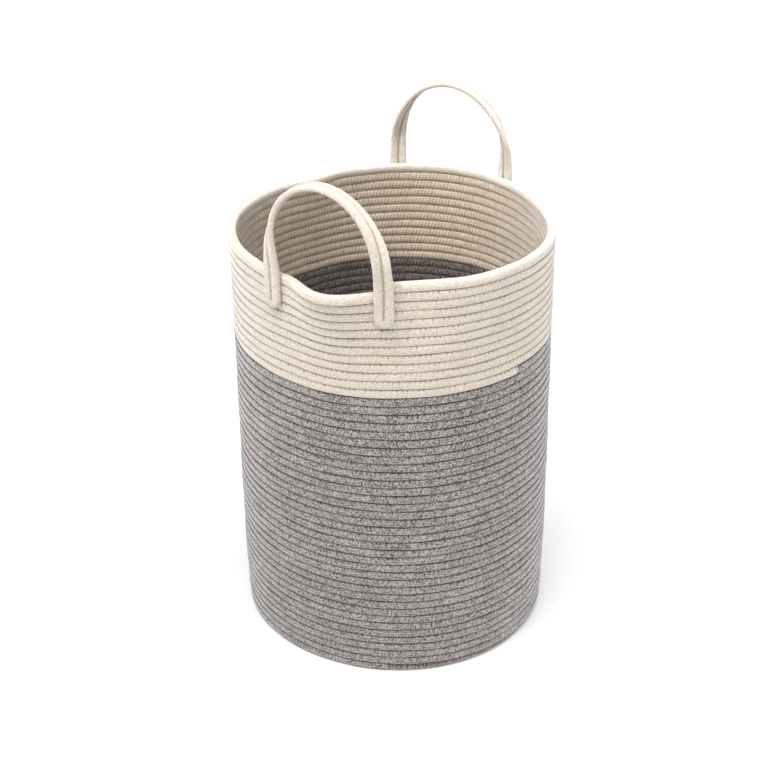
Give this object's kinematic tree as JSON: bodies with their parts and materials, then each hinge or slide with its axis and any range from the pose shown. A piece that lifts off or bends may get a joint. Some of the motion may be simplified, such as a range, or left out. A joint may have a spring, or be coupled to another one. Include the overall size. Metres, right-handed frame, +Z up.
{
  "type": "laundry hamper",
  "caption": "Tall open round laundry hamper of coiled cotton rope, grey with a cream top band, with rope-loop handles that fold in over the mouth or hang outside.",
  "frame": {"origin": "middle of the underside of the base coil, on the surface that the hamper stands on", "axes": "+Z up; +Y towards the back handle and -Y towards the front handle; +X to the right when looking along +Y"},
  "size_m": [0.3788, 0.3937, 0.6082],
  "materials": {
    "cream_rope": "braided undyed cotton rope, matt",
    "grey_rope": "braided cotton rope in mixed grey and off-white yarn, matt",
    "cream_thread": "spun polyester sewing thread, matt"
  },
  "bodies": {
    "basket": {"base_coil": "grey_rope", "grey_wall_coil": "grey_rope", "cream_wall_coil": "cream_rope", "front_left_sewn_end": "cream_rope", "front_left_cross_tack": "cream_thread", "front_left_end_seam": "cream_thread", "front_right_sewn_end": "cream_rope", "front_right_cross_tack": "cream_thread", "front_right_end_seam": "cream_thread", "back_left_sewn_end": "cream_rope", "back_left_cross_tack": "cream_thread", "back_left_end_seam": "cream_thread", "back_right_sewn_end": "cream_rope", "back_right_cross_tack": "cream_thread", "back_right_end_seam": "cream_thread"},
    "front_handle": {"front_handle_outer_run": "cream_rope", "front_handle_inner_run": "cream_rope", "front_handle_seam": "cream_thread"},
    "back_handle": {"back_handle_outer_run": "cream_rope", "back_handle_inner_run": "cream_rope", "back_handle_seam": "cream_thread"}
  },
  "joints": [
    {"name": "front_handle_swing", "type": "hinge", "parent": "basket", "child": "front_handle", "pos_m": [0.017, -0.1776, 0.516], "axis": [1, 0, 0], "range_deg": [-67, 165]},
    {"name": "back_handle_swing", "type": "hinge", "parent": "basket", "child": "back_handle", "pos_m": [-0.006, 0.1966, 0.516], "axis": [-1, 0, 0], "range_deg": [-72, 165]}
  ]
}
